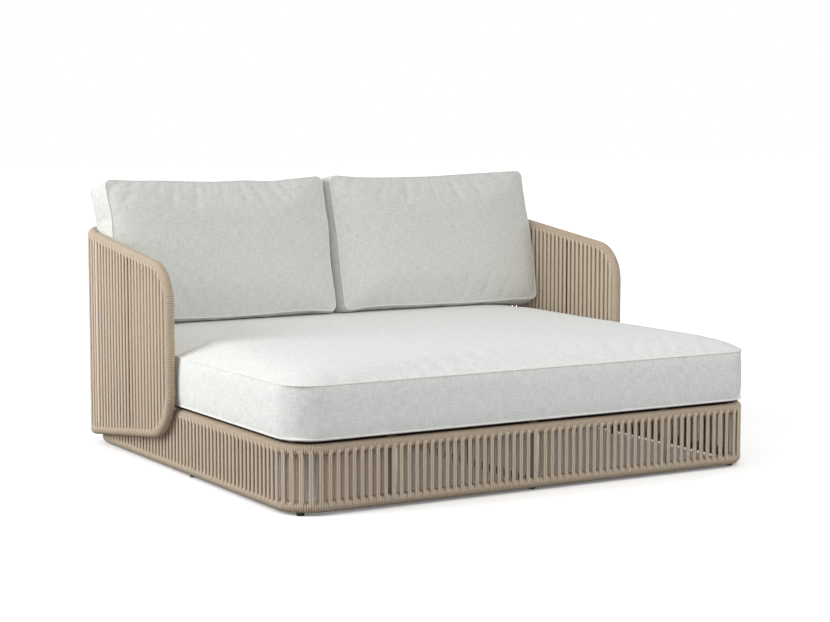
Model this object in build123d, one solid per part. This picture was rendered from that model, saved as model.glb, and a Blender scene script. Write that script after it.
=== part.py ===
from build123d import *
from math import atan, cos, hypot, pi, radians, sin, sqrt, tan
import os

os.makedirs("parts", exist_ok=True)

# Outdoor daybed: a low rope-wound platform, a rope-wound shell for arms and back,
# a deep seat mattress and two leaning back cushions. Millimetres, +Z up, front at -Y.
# The origin is the middle of the footprint on the floor.

# Rope and tube stock. A visible strand is two ropes side by side, then a gap of two ropes.
rope_diameter = 6.75
ropes_per_strand = 2
ropes_per_pitch = 4
strand_width = rope_diameter * ropes_per_strand
strand_pitch = rope_diameter * ropes_per_pitch
tube_diameter = 22.0
tube_radius = tube_diameter / 2
rail_radius = tube_radius + rope_diameter
post_diameter = 21.0
post_radius = post_diameter / 2
wrap_sides = 10
tube_sides = 6
post_sides = 12
hidden_sides = 8
bolt_sides = 6
seat_gap = 0.3
full_turn = 2 * pi
flat_limit = 1e-7
wrap_corner = rail_radius / cos(pi / wrap_sides)

# Platform.
base_width = 1746.0
base_depth = 1592.0
base_corner_radius = 121.0
low_rail_height = 26.5
top_rail_height = 198.2
front_strand_shift = 3.1
front_centre_gap = 37.0
side_strand_phase = 13.8
right_side_phase = 20.8

# Shell: one closed tube loop that makes both arms and the back.
shell_gap = 5.3
shell_corner_radius = 144.0
shell_slope = atan(0.121)
shell_top_height = 763.7
shell_low_height = 44.0
arm_front_reach = 32.5
arm_top_radius = 124.0
arm_low_radius = 155.0
left_arm_first_strand = 29.5
right_arm_first_strand = 42.3
back_first_strand = strand_pitch / 2

# Posts, beams and feet.
front_post_pitches = 19
post_offset = front_post_pitches * strand_pitch
left_post_pitches = 12
left_post_shift = 2.9
right_post_pitches = 11
bolt_diameter = 6.0
side_bolt_height = 150.0
back_bolt_height = 112.0
beam_width = 30.0
beam_wall = 2.0
slat_count = 11
slat_width = 90.0
slat_end_gap = 45.5
slat_side_gap = 43.0
slat_thickness = 12.0
glide_diameter = 20.0
corner_glide_inset_x = 61.0
corner_glide_inset_y = 44.0
centre_glide_setback = 46.0

# Seat mattress.
mattress_side_inset = 5.5
mattress_end_inset = 2.5
mattress_corner_radius = 112.0
deck_rise = 29.2
mattress_side_height = 161.6
mattress_crown = 50.0
crown_power = 11.0
mattress_draw_in = 4.0
wadding_thickness = 45.0
foam_rise = 15.0
mattress_crown_shares = (0.34, 0.68, 0.9, 1.0)

# Back cushions, leaning on the shell's top rail.
cushion_lean = radians(13)
cushion_arm_gap = 1.0
cushion_height = 507.0
cushion_thickness = 140.0
cushion_side_gap = 20.0
cushion_corner_radius = 35.0
cushion_corner_growth_share = 0.3
cushion_back_reach = 299.05
cushion_foot_rise = 59.0
cushion_front_crown = 40.0
cushion_back_crown = 68.0
cushion_draw_in = 5.0
cushion_inset_shares = (0.12, 0.34, 0.66)
cushion_rise_shares = (0.38, 0.8, 1.0)
cushion_back_inset_shares = (0.2, 0.62)
cushion_back_rise_shares = (0.55, 1.0)
cushion_wadding = 22.0
cushion_foam_rise = 48.0

# Derived planes and centre lines.
back_reach = wrap_corner * cos(pi / wrap_sides - shell_slope)
base_y = -(shell_gap + rail_radius + back_reach) / 2
front_y = base_y - base_depth / 2
base_half_x = base_width / 2 - rail_radius
base_half_y = base_depth / 2 - rail_radius
base_bend = base_corner_radius - rail_radius
base_straight_x = base_half_x - base_bend
base_straight_y = base_half_y - base_bend
shell_x = base_width / 2 + shell_gap + rail_radius
shell_y = base_y + base_depth / 2 + shell_gap + rail_radius
shell_straight_x = shell_x - shell_corner_radius
arm_y = base_y + arm_front_reach
slope_cos = cos(shell_slope)
slope_sin = sin(shell_slope)
slope_tan = tan(shell_slope)
mattress_width = base_width - 2 * mattress_side_inset
mattress_depth = base_depth - 2 * mattress_end_inset
mattress_base_height = top_rail_height + deck_rise
mattress_seam_height = mattress_base_height + mattress_side_height
cushion_width = base_width / 2 - cushion_side_gap - cushion_arm_gap

# Outlines of a strand: half widths as parts of its width, and distances from the rail's middle.
flat_bar = ((-1, tube_radius), (1, tube_radius), (1, rail_radius), (-1, rail_radius))
ridged_bar = ((-1, tube_radius), (1, tube_radius), (0, rail_radius))


def save(solids, name):
    """Write one node: a single solid, or a group of separate like pieces."""
    shape = solids[0] if len(solids) == 1 else Compound(children=list(solids))
    shape.label = name
    export_step(shape, "parts/" + name + ".step")
    total = sum(s.volume for s in solids)
    print(name, len(solids), "solids, volume", round(total))


def bar(corners, lows, highs):
    """A three- or four-sided upright bar whose bottom and top heights differ from corner to corner."""
    low = [Vector(x, y, z) for (x, y), z in zip(corners, lows)]
    high = [Vector(x, y, z) for (x, y), z in zip(corners, highs)]
    rings = []
    for k in range(len(corners)):
        j = (k + 1) % len(corners)
        rings.append([low[k], low[j], high[j], high[k]])
    for end in (low, high):
        twist = end[0].Z - end[1].Z + end[2].Z - end[-1].Z
        if len(end) == 3 or abs(twist) < flat_limit:
            rings.append(end)
        else:
            rings.append(end[:3])
            rings.append([end[0], end[2], end[3]])
    faces = [Face(Wire.make_polygon(ring)) for ring in rings]
    return Solid(Shell(faces))


def facet_drop(offset):
    """Height from a rail's centre to its wrapped surface, at a sideways offset in a strand layer."""
    flat_half = rail_radius * tan(pi / wrap_sides)
    return flat_half + (rail_radius - abs(offset)) / tan(full_turn / wrap_sides) + seat_gap


def corner_distance(across, along, radius):
    """Signed distance of a plan point from a centre line with one rounded corner."""
    if across > 0 and along > 0:
        return hypot(across, along) - radius
    return max(across, along) - radius


def base_ends(x, y):
    """Bottom and top of a platform strand's edge at a plan point."""
    across = abs(x) - base_straight_x
    along = abs(y - base_y) - base_straight_y
    drop = facet_drop(corner_distance(across, along, base_bend))
    return low_rail_height + drop, top_rail_height - drop


def shell_end(x, y, upper):
    """Height at which a shell strand's edge at a plan point meets the top or the bottom rail."""
    sign = 1 if upper else -1
    back_height = shell_top_height if upper else shell_low_height
    run = shell_y - y
    plane_z = back_height - sign * run * slope_tan
    height = plane_z - sign * rail_radius
    for step in range(8):
        lift = (height - plane_z) * slope_cos
        foot = y + sign * lift * slope_sin
        along = (foot - shell_y) / slope_cos + shell_corner_radius
        across = abs(x) - shell_straight_x
        drop = facet_drop(corner_distance(across, along, shell_corner_radius))
        height = plane_z - sign * drop / slope_cos
    radius = arm_top_radius if upper else arm_low_radius
    centre_y, centre_z = arm_centre(upper)
    drop = facet_drop(abs(x) - shell_x)
    reach = centre_y - y
    if reach > (radius - drop) * slope_sin:
        height = centre_z + sign * sqrt((radius - drop) ** 2 - reach ** 2)
    return height


def shell_ends(x, y):
    return shell_end(x, y, False), shell_end(x, y, True)


def arm_centre(upper):
    """Centre of the bend that joins a sloping rail to the arm's upright front tube."""
    sign = 1 if upper else -1
    radius = arm_top_radius if upper else arm_low_radius
    back_height = shell_top_height if upper else shell_low_height
    centre_y = arm_y + radius
    plane_z = back_height - sign * (shell_y - centre_y) * slope_tan
    return centre_y, plane_z - sign * radius / slope_cos


def strand_pair(x, y, tangent, normal, ends, inner_bar=ridged_bar):
    """The outer and inner strand at one place of a rail's centre line."""
    pieces = []
    for layer, outline in ((1, flat_bar), (-1, inner_bar)):
        corners = []
        for side, offset in outline:
            shift = side * strand_width / 2
            out = layer * offset
            px = x + tangent[0] * shift + normal[0] * out
            py = y + tangent[1] * shift + normal[1] * out
            corners.append((px, py))
        spans = [ends(px, py) for px, py in corners]
        pieces.append(bar(corners, [s[0] for s in spans], [s[1] for s in spans]))
    return pieces


def lattice(first, limit):
    """Strand places from the first one up to a limit, one pitch apart."""
    count = int((limit - first) // strand_pitch) + 1
    return [first + k * strand_pitch for k in range(count)]


def corner_places(lead, tail, radius):
    """Distances past the start of a bend, evenly spaced between the last strands of both runs."""
    total = lead + radius * pi / 2 + tail
    steps = max(1, round(total / strand_pitch))
    return [total * k / steps - lead for k in range(1, steps)]


def bend_strands(side_x, side_y, straight_x, straight_y, radius, squash, places, ends, inner_bar=ridged_bar):
    """Strands round one rounded corner, placed by distance along its bend."""
    pieces = []
    arc = radius * pi / 2
    for place in places:
        turn = min(max(place, 0), arc) / radius
        before = min(place, 0)
        after = max(place - arc, 0)
        x = side_x * (straight_x + radius * sin(turn) + before)
        y = straight_y + side_y * (radius * cos(turn) * squash - after * squash)
        run_x, run_y = cos(turn), sin(turn) * squash
        size = hypot(run_x, run_y)
        tangent = (side_x * run_x / size, -side_y * run_y / size)
        normal = (side_x * run_y / size, side_y * run_x / size)
        pieces.extend(strand_pair(x, y, tangent, normal, ends, inner_bar))
    return pieces


def base_loop(height):
    """Centre line of a platform rail, starting at the middle of the front."""
    shape = RectangleRounded(2 * base_half_x, 2 * base_half_y, base_bend)
    return (Pos(0, base_y, height) * shape).wire()


def shell_point(x, back, upper):
    """A point of the shell's sloping rail plane, a distance forward of the back measured on the slope."""
    if upper:
        return (x, shell_y - back * slope_cos, shell_top_height - back * slope_sin)
    return (x, shell_y - back * slope_cos, shell_low_height + back * slope_sin)


def back_bend(side, upper):
    """Three points of the bend between the back rail and one arm rail."""
    share = 1 - sin(pi / 4)
    inset = shell_corner_radius * share
    first = shell_point(side * shell_straight_x, 0, upper)
    middle = shell_point(side * (shell_x - inset), inset, upper)
    last = shell_point(side * shell_x, shell_corner_radius, upper)
    return [first, middle, last]


def arm_bend(side, upper):
    """Three points of the bend between an arm rail and the upright front tube."""
    sign = 1 if upper else -1
    radius = arm_top_radius if upper else arm_low_radius
    centre_y, centre_z = arm_centre(upper)
    points = []
    for angle in (shell_slope, (shell_slope + pi / 2) / 2, pi / 2):
        y = centre_y - radius * sin(angle)
        z = centre_z + sign * radius * cos(angle)
        points.append((side * shell_x, y, z))
    return points


def shell_loop():
    """Centre line of the shell's tube: back, bend, arm, bend, front, and the same below."""
    stations = []
    for side, upper in ((1, True), (-1, False)):
        stations += [back_bend(side, upper), arm_bend(side, upper)]
        stations += [arm_bend(side, not upper)[::-1], back_bend(side, not upper)[::-1]]
    edges = []
    for k, bend in enumerate(stations):
        edges.append(Line(stations[k - 1][2], bend[0]))
        edges.append(ThreePointArc(*bend))
    return Wire(edges)


def ring_section(plane, radius, sides):
    turn = 180 / sides
    return plane * RegularPolygon(radius, sides, major_radius=False, rotation=turn)


def level_across(start, heading):
    """Sideways direction of a section on a level rail."""
    return heading.cross(Vector(0, 0, 1))


def sloping_across(start, heading):
    """Sideways direction of a section on the shell's tube."""
    if abs(heading.X) < abs(heading.Y) + abs(heading.Z):
        return Vector(1, 0, 0)
    sign = 1 if start.Z > shell_top_height / 2 else -1
    return Vector(0, slope_cos, sign * slope_sin)


def loop_solids(path, across, name):
    """A tube of straight and bent lengths joined end to end, and the rope wound over all of them."""
    plane = Plane(origin=path @ 0, x_dir=across(path @ 0, path % 0), z_dir=path % 0)
    bore = sweep(ring_section(plane, tube_radius + seat_gap, tube_sides), path=path)
    wrap = sweep(ring_section(plane, rail_radius, wrap_sides), path=path)
    save([(wrap - bore).solid()], name + "_rope_wrap")
    lengths = []
    for edge in path.edges():
        seat = Plane(origin=edge @ 0, x_dir=across(edge @ 0, edge % 0), z_dir=edge % 0)
        lengths.append(sweep(ring_section(seat, tube_radius, tube_sides), path=edge).solid())
    save(lengths, name + "_tube")


# Rails: closed loops of tube with rope wound tightly round their whole length.
loop_solids(base_loop(low_rail_height), level_across, "base_low_rail")
loop_solids(base_loop(top_rail_height), level_across, "base_top_rail")
loop_solids(shell_loop(), sloping_across, "shell")

# Platform strands: straight panels, then the four rounded corners.
right_places = lattice(front_centre_gap / 2 + front_strand_shift, base_straight_x)
left_places = lattice(front_centre_gap / 2 - front_strand_shift, base_straight_x)
back_places = lattice(back_first_strand, base_straight_x)
side_limits = {}
for side, phase, label in ((-1, side_strand_phase, "left"), (1, right_side_phase, "right")):
    ahead = lattice(strand_pitch - phase, base_straight_y)
    behind = lattice(phase, base_straight_y)
    side_limits[side] = (ahead[-1], behind[-1])
    places = [-v for v in ahead[::-1]] + behind
    panel = [strand_pair(side * base_half_x, base_y + v, (0, 1), (side, 0), base_ends) for v in places]
    save([pair[0] for pair in panel], "base_" + label + "_outer_strands")
    save([pair[1] for pair in panel], "base_" + label + "_inner_strands")
front_x = [-v for v in left_places[::-1]] + right_places
back_x = [-v for v in back_places[::-1]] + back_places
for side, places, label in ((-1, front_x, "front"), (1, back_x, "back")):
    line_y = base_y + side * base_half_y
    panel = [strand_pair(v, line_y, (1, 0), (0, side), base_ends) for v in places]
    save([pair[0] for pair in panel], "base_" + label + "_outer_strands")
    save([pair[1] for pair in panel], "base_" + label + "_inner_strands")
for side_y, label_y in ((-1, "front"), (1, "back")):
    for side_x, label_x in ((-1, "left"), (1, "right")):
        run_x = back_places[-1]
        if side_y < 0:
            run_x = left_places[-1] if side_x < 0 else right_places[-1]
        run_y = side_limits[side_x][0 if side_y < 0 else 1]
        places = corner_places(base_straight_x - run_x, base_straight_y - run_y, base_bend)
        centre_y = base_y + side_y * base_straight_y
        pieces = bend_strands(side_x, side_y, base_straight_x, centre_y, base_bend, 1, places, base_ends)
        save(pieces, "base_" + label_y + "_" + label_x + "_corner_strands")

# Shell strands: arms, back and the two rear corners.
shell_back_places = lattice(back_first_strand, shell_straight_x)
shell_bend_y = shell_y - shell_corner_radius * slope_cos
arm_last = {}
for side, first, label in ((-1, left_arm_first_strand, "left"), (1, right_arm_first_strand, "right")):
    places = [arm_y + v for v in lattice(first, shell_bend_y - arm_y)]
    arm_last[side] = shell_bend_y - places[-1]
    panel = [strand_pair(side * shell_x, v, (0, 1), (side, 0), shell_ends, flat_bar) for v in places]
    save([pair[0] for pair in panel], "arm_" + label + "_outer_strands")
    save([pair[1] for pair in panel], "arm_" + label + "_inner_strands")
shell_back_x = [-v for v in shell_back_places[::-1]] + shell_back_places
panel = [strand_pair(v, shell_y, (1, 0), (0, 1), shell_ends) for v in shell_back_x]
save([pair[0] for pair in panel], "back_outer_strands")
save([pair[1] for pair in panel], "back_inner_strands")
for side, label in ((-1, "left"), (1, "right")):
    lead = shell_straight_x - shell_back_places[-1]
    places = corner_places(lead, arm_last[side] / slope_cos, shell_corner_radius)
    bend = (shell_straight_x, shell_bend_y, shell_corner_radius, slope_cos)
    pieces = bend_strands(side, 1, *bend, places, shell_ends, flat_bar)
    save(pieces, "shell_" + label + "_corner_strands")

# Posts between the rails, seen through the gaps, and the bolts that hold the shell to the platform.
post_low = low_rail_height + wrap_corner
post_high = top_rail_height - wrap_corner
left_post_reach = side_strand_phase + (left_post_pitches + 1 / 2) * strand_pitch - left_post_shift
right_post_reach = right_side_phase + (right_post_pitches + 1 / 2) * strand_pitch
post_side_y = {-1: base_y + left_post_reach, 1: base_y + right_post_reach}


def post(x, y, low, high, sides=post_sides):
    outline = RegularPolygon(post_radius, sides, major_radius=False, rotation=180 / sides)
    return extrude(Pos(x, y, low) * outline, high - low).solid()


base_posts = []
for x in (-post_offset, 0, post_offset):
    for side in (-1, 1):
        base_posts.append(post(x, base_y + side * base_half_y, post_low, post_high))
for side in (-1, 1):
    away = post_side_y[side] - base_y
    for reach in (-1, 1):
        base_posts.append(post(side * base_half_x, base_y + reach * away, post_low, post_high))
save(base_posts, "base_posts")


def shell_post(x, y):
    """A shell post with its ends cut to the slope of the rails."""
    low_mid = shell_low_height + (shell_y - y) * slope_tan
    high_mid = shell_top_height - (shell_y - y) * slope_tan
    column = post(x, y, low_mid, high_mid)
    low_cut = Plane(origin=(x, y, low_mid + wrap_corner / slope_cos), z_dir=(0, slope_sin, slope_cos))
    high_cut = Plane(origin=(x, y, high_mid - wrap_corner / slope_cos), z_dir=(0, -slope_sin, slope_cos))
    column = split(column, bisect_by=low_cut, keep=Keep.TOP)
    column = split(column, bisect_by=high_cut, keep=Keep.BOTTOM)
    return column.solid()


shell_posts = [shell_post(x, shell_y) for x in (-post_offset, 0, post_offset)]
shell_posts += [shell_post(side * shell_x, post_side_y[side]) for side in (-1, 1)]
save(shell_posts, "shell_posts")

bolts = []
bolt_length = shell_gap + 2 * rail_radius - 2 * post_radius
bolt_profile = RegularPolygon(bolt_diameter / 2, bolt_sides)
for side in (-1, 1):
    start_x = side * (base_half_x + post_radius)
    seat = Plane(origin=(start_x, post_side_y[side], side_bolt_height), z_dir=(side, 0, 0))
    bolts.append(extrude(seat * bolt_profile, bolt_length).solid())
for x in (-post_offset, 0, post_offset):
    seat = Plane(origin=(x, base_y + base_half_y + post_radius, back_bolt_height), z_dir=(0, 1, 0))
    bolts.append(extrude(seat * bolt_profile, bolt_length).solid())
save(bolts, "joining_bolts")

# Deck: three beams from the front rail to the back rail, slats across them, legs and a low beam.
slat_top = mattress_base_height - seat_gap
beam_top = slat_top - slat_thickness
beam_mid = beam_top - beam_width / 2
beam_length = 2 * (base_half_y - rail_radius)
beam_bore = beam_width - 2 * beam_wall
beam_profile = Rectangle(beam_width, beam_width) - Rectangle(beam_bore, beam_bore)
beams = []
for x in (-post_offset, 0, post_offset):
    seat = Plane(origin=(x, base_y + beam_length / 2, beam_mid), z_dir=(0, -1, 0))
    beams.append(extrude(seat * beam_profile, beam_length).solid())
save(beams, "deck_beams")
slat_length = base_width - 2 * slat_side_gap
slat_pitch = (beam_length - slat_width - 2 * slat_end_gap) / (slat_count - 1)
slats = []
for k in range(slat_count):
    y = base_y + (k - (slat_count - 1) / 2) * slat_pitch
    seat = Pos(0, y, beam_top)
    slats.append(extrude(seat * Rectangle(slat_length, slat_width), slat_thickness).solid())
save(slats, "deck_slats")
seat = Plane(origin=(0, base_y + beam_length / 2, low_rail_height), z_dir=(0, -1, 0))
low_beam = extrude(ring_section(seat, tube_radius, post_sides), beam_length)
save([low_beam.solid()], "low_beam")
leg_low = low_rail_height + tube_radius
leg_high = beam_top - beam_width
leg_offset = beam_length / 4
legs = [post(0, base_y + k * leg_offset, leg_low, leg_high, hidden_sides) for k in (-1, 0, 1)]
save(legs, "centre_legs")

# Glides under the platform.
rail_glide_height = low_rail_height - wrap_corner
beam_glide_height = low_rail_height - tube_radius
glides = []
glide_profile = RegularPolygon(glide_diameter / 2, hidden_sides)
for side in (-1, 1):
    for reach in (-1, 1):
        x = side * (base_width / 2 - corner_glide_inset_x)
        y = base_y + reach * (base_depth / 2 - corner_glide_inset_y)
        glides.append(extrude(Pos(x, y, 0) * glide_profile, rail_glide_height).solid())
    glides.append(extrude(Pos(side * base_half_x, base_y, 0) * glide_profile, rail_glide_height).solid())
for reach in (-1, 1):
    y = base_y + reach * (base_depth / 2 - centre_glide_setback)
    glides.append(extrude(Pos(0, y, 0) * glide_profile, beam_glide_height).solid())
save(glides, "floor_glides")

# Soft seat mattress: boxed sides drawn in a little, a crown with steep shoulders, foam inside.


def rounded(plane, width, depth, radius):
    return plane * RectangleRounded(width, depth, min(radius, width / 2 - seat_gap, depth / 2 - seat_gap))


def stack(sections):
    """A closed form ruled through a stack of rounded outlines."""
    return loft(sections, ruled=True)


def crown_inset(share):
    """How far in from the edge the crown reaches this share of its full height."""
    return mattress_depth / 2 * (1 - (1 - share) ** (1 / crown_power))


crown_full_share = 0.995
mattress_levels = [(mattress_base_height, 0)]
mattress_levels.append(((mattress_base_height + mattress_seam_height) / 2, mattress_draw_in))
mattress_levels.append((mattress_seam_height, 0))
for share in mattress_crown_shares:
    rise = mattress_crown * share
    mattress_levels.append((mattress_seam_height + rise, crown_inset(min(share, crown_full_share))))
sections = []
for height, inset in mattress_levels:
    level = Plane(origin=(0, base_y, height))
    radius = mattress_corner_radius + inset * cushion_corner_growth_share
    sections.append(rounded(level, mattress_width - 2 * inset, mattress_depth - 2 * inset, radius))
mattress_body = stack(sections)
foam_width = mattress_width - 2 * wadding_thickness
foam_depth = mattress_depth - 2 * wadding_thickness
foam_low = mattress_base_height + foam_rise
foam_high = mattress_seam_height
foam_plane = Plane(origin=(0, base_y, foam_low))
foam = extrude(foam_plane * Rectangle(foam_width, foam_depth), foam_high - foam_low)
pocket_plane = Plane(origin=(0, base_y, foam_low - seat_gap))
pocket_outline = pocket_plane * Rectangle(foam_width + 2 * seat_gap, foam_depth + 2 * seat_gap)
pocket = extrude(pocket_outline, foam_high - foam_low + 2 * seat_gap)
save([(mattress_body - pocket).solid()], "mattress_cover")
save([foam.solid()], "mattress_foam")

# Back cushions: boxed, crowned front and back, pressed in where they stand on the mattress
# and where they lean on the shell.
mattress_press = Pos(0, 0, seat_gap) * mattress_body
face_y = shell_y - cushion_back_reach
cushion_x = cushion_side_gap + cushion_width / 2
press_inset = back_reach + seat_gap
press_width = 2 * (shell_x - press_inset)
press_y = shell_y - press_inset - mattress_depth / 2
press_bend = shell_corner_radius - press_inset
press_outline = Pos(0, press_y, 0) * RectangleRounded(press_width, mattress_depth, press_bend)
press_block = Pos(0, press_y, 0) * Rectangle(2 * base_width, 2 * mattress_depth)
press_top = shell_top_height + wrap_corner + seat_gap
shell_press = extrude(press_block - press_outline, press_top)
for side, label in ((-1, "left"), (1, "right")):
    foot = Vector(side * cushion_x, face_y, mattress_seam_height + cushion_foot_rise)
    face = Plane(origin=foot, x_dir=(1, 0, 0), z_dir=(0, -cos(cushion_lean), sin(cushion_lean)))
    profile = []
    half = cushion_height / 2
    for inset_share, rise_share in zip(cushion_back_inset_shares[::-1], cushion_back_rise_shares[::-1]):
        profile.append((-cushion_thickness - cushion_back_crown * rise_share, half * inset_share))
    profile.append((-cushion_thickness, 0))
    profile.append((-cushion_thickness / 2, cushion_draw_in))
    profile.append((0, 0))
    for inset_share, rise_share in zip(cushion_inset_shares, cushion_rise_shares):
        profile.append((cushion_front_crown * rise_share, half * inset_share))
    sections = []
    for depth, inset in profile:
        level = face * Pos(0, half, depth)
        radius = cushion_corner_radius + inset * cushion_corner_growth_share
        sections.append(rounded(Plane(level), cushion_width - 2 * inset, cushion_height - 2 * inset, radius))
    cover = stack(sections)
    cover = cover - shell_press - mattress_press
    core_width = cushion_width - 2 * cushion_wadding
    core_height = cushion_height - cushion_wadding - cushion_foam_rise
    core_depth = cushion_thickness - cushion_wadding
    core_middle = cushion_foam_rise + core_height / 2
    core_place = face * Pos(0, core_middle, -cushion_thickness + cushion_wadding / 2)
    core = extrude(Plane(core_place) * Rectangle(core_width, core_height), core_depth)
    room_place = face * Pos(0, core_middle, -cushion_thickness + cushion_wadding / 2 - seat_gap)
    room_outline = Plane(room_place) * Rectangle(core_width + 2 * seat_gap, core_height + 2 * seat_gap)
    room = extrude(room_outline, core_depth + 2 * seat_gap)
    save([(cover - room).solid()], "back_cushion_" + label + "_cover")
    save([core.solid()], "back_cushion_" + label + "_foam")
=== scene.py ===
import math

import bpy
import numpy as np
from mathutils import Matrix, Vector


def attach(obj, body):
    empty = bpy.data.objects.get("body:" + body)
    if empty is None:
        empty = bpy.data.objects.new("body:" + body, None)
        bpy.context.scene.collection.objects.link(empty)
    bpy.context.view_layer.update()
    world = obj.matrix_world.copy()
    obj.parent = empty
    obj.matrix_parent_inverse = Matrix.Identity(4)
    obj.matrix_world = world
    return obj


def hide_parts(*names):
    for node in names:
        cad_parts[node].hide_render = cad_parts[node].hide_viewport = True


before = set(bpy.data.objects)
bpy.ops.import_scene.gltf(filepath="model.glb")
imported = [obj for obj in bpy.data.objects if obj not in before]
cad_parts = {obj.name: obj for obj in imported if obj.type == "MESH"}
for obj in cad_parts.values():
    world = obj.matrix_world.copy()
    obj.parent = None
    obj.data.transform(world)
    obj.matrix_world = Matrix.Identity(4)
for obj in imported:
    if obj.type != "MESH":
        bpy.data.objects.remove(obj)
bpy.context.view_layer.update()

# Outdoor daybed in metres: +X right, the open front faces -Y, the floor is z = 0.

# TINY keeps rounding from deciding a comparison, and points closer than SAME_PLACE count as one.
TINY, SAME_PLACE = 1e-9, 1e-6

# Rope and tube stock: wound rope has its middle at WRAP from a rail's centre line and its outside at RAIL.
ROPE = 0.00675
TUBE = 0.022
WRAP = TUBE / 2 + ROPE / 2
RAIL = TUBE / 2 + ROPE
# A turn of wound rope has rows at these shares of its width, and this many points round the rail.
TURN_ROWS = np.array([0.0, 0.2, 0.5, 0.8])
TURN_SIDES = 20
# A fine walk round a rail, in these steps, finds where the strands meet it.
RAIL_STEP = 0.0005

# Strands stand one pitch apart. Their ends lean sideways over LEAN_REACH, with rings at LEAN_RINGS of it.
PITCH = 4 * ROPE
STRAND_SIDES = 8
LEAN_REACH = 0.020
LEAN_RINGS = np.array([0, 0.35, 0.7, 1.2])
# From one strand to the next the pattern moves on by this much, so that neighbours show other flecks.
PATTERN_STEP = 0.37
# Which way strands lean along their panel: each rope wanders on as it winds round the loop.
LEANS = {"base_left": -1, "base_back_left": -1, "base_back_right": -1, "arm_left": -1}
# Corners and sides whose strands stand a few millimetres further on, which closes a line of sight.
CORNER_SHIFTS = {"front_right": 0.006, "shell_left": 0.005}
SIDE_SHIFTS = {-1: 0.0, 1: 0.005}

# Platform: outside half sizes, its middle, rail centre lines, and the first strands of front and sides.
BASE_X_OUT, BASE_Y_OUT = 0.873, 0.796
BASE_Y = -0.020682
BASE_X_HALF, BASE_Y_HALF = BASE_X_OUT - RAIL, BASE_Y_OUT - RAIL
BASE_BEND = 0.10325
LOW_RAIL, TOP_RAIL = 0.0265, 0.1982
STRAIGHT_X, STRAIGHT_Y = BASE_X_HALF - BASE_BEND, BASE_Y_HALF - BASE_BEND
FRONT_GAP, FRONT_SHIFT = 0.037, 0.0031
LEFT_PHASE, RIGHT_PHASE = 0.0138, 0.0208

# Shell: one tube loop for arms and back, its rails sloping towards the front, just outside the platform.
SLOPE = math.atan(0.121)
COS, SIN, TAN = math.cos(SLOPE), math.sin(SLOPE), math.tan(SLOPE)
SHELL_GAP = 0.0053
SHELL_X = BASE_X_OUT + SHELL_GAP + RAIL
SHELL_Y = BASE_Y + BASE_Y_OUT + SHELL_GAP + RAIL
SHELL_BEND = 0.144
SHELL_STRAIGHT = SHELL_X - SHELL_BEND
TOP_BACK, LOW_BACK = 0.7637, 0.044
ARM_SETBACK = 0.8285
ARM_Y = BASE_Y - BASE_Y_OUT + ARM_SETBACK
ARM_TOP_BEND, ARM_LOW_BEND = 0.124, 0.155
# First strands of the arms behind their front, the right arm's extra pair, and how far the left arm's
# strands in front of its slot stand from their places.
LEFT_FIRST, RIGHT_FIRST = 0.0295, 0.0423
RIGHT_EXTRA = 0.0188
LEFT_SHIFT = -0.0029

# Posts: the arms' are painted dark, painted shade that shows in a slot between two strands; they stand a
# little further back than the slot, and the platform's front ones stand a little to the left.
POST_RADIUS = 0.0105
POST_X = 19 * PITCH
FRONT_POST_SHIFT = -0.004
SLOT_Y = {-1: 0.3277, 1: 0.3106}
POST_Y = {-1: SLOT_Y[-1] + 0.035, 1: SLOT_Y[1] + 0.025}
ROUND_SIDES = 24

# Bolts between both frames, the dark oval tube under the slats' ends, which is painted shade for the gap
# under the mattress, and glides as (x, y, low, high).
BOLT_RADIUS, BOLT_SIDES = 0.003, 12
ARM_BOLT_Z, BACK_BOLT_Z = 0.150, 0.112
SHADE_TUBE_Z, SHADE_TUBE_INSET, SHADE_TUBE_RADIUS, SHADE_TUBE_SQUASH = 0.2091, 0.036, 0.016, 0.375
SHADE_TUBE_STEP, SHADE_TUBE_SIDES = 0.02, 12
GLIDE_RADIUS = 0.012
CORNER_GLIDE, SIDE_GLIDE, BEAM_GLIDE = 0.011, 0.014, 0.017
GLIDES = [(-0.8194, -0.7659, 0, CORNER_GLIDE), (0.799, -0.7667, 0, CORNER_GLIDE),
          (-0.812, 0.7313, 0, CORNER_GLIDE), (0.812, 0.7313, 0, CORNER_GLIDE),
          (-0.843, -0.048, 0, SIDE_GLIDE), (0.843, -0.048, 0, SIDE_GLIDE),
          (0, -0.7707, 0, BEAM_GLIDE), (0, 0.7293, 0, BEAM_GLIDE)]

# Seat mattress: low is its underside, hem the low seam's height over that, crown the top's rise over seam.
MATTRESS = dict(width=1.735, depth=1.587, bend=0.112, low=0.2274, seam=0.389, crown=0.050, hem=0.0024)
MATTRESS_PAD = dict(half_u=MATTRESS["width"] / 2, half_v=MATTRESS["depth"] / 2, bend=MATTRESS["bend"],
                    low=MATTRESS["low"] + MATTRESS["hem"], seam=MATTRESS["seam"],
                    crowns=(MATTRESS["crown"], MATTRESS["hem"]), powers=(11, 14), bulge=(0.001,) * 4,
                    tuck=0.001, cells=(44, 40), rows=8)
MATTRESS_SWELL = dict(cap=0.005, pressure=4.0, shrink=-0.012)

# Back cushions: they lean back from face_y and foot, the front seam's lowest place. gap is half of what
# lies between their plain sides, which the boxing strips' bulge closes.
LEAN = math.radians(13)
CUSHION = dict(width=0.852, height=0.507, thick=0.140, bend=0.024, gap=0.020, face_y=0.499318, foot=0.448,
               middle_bulge=0.0178, top_bulge=0.005, arm_bulge=0.0, foot_bulge=0.013)
CUSHION_PAD = dict(half_u=CUSHION["width"] / 2, half_v=CUSHION["height"] / 2, bend=CUSHION["bend"],
                   low=-CUSHION["thick"], seam=0.0, crowns=(0.040, 0.068), powers=(3.8, 3.7), tuck=0.002,
                   cells=(40, 25), rows=8)
CUSHION_SWELL = dict(cap=0.006, pressure=4.0, shrink=-0.011)
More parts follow.
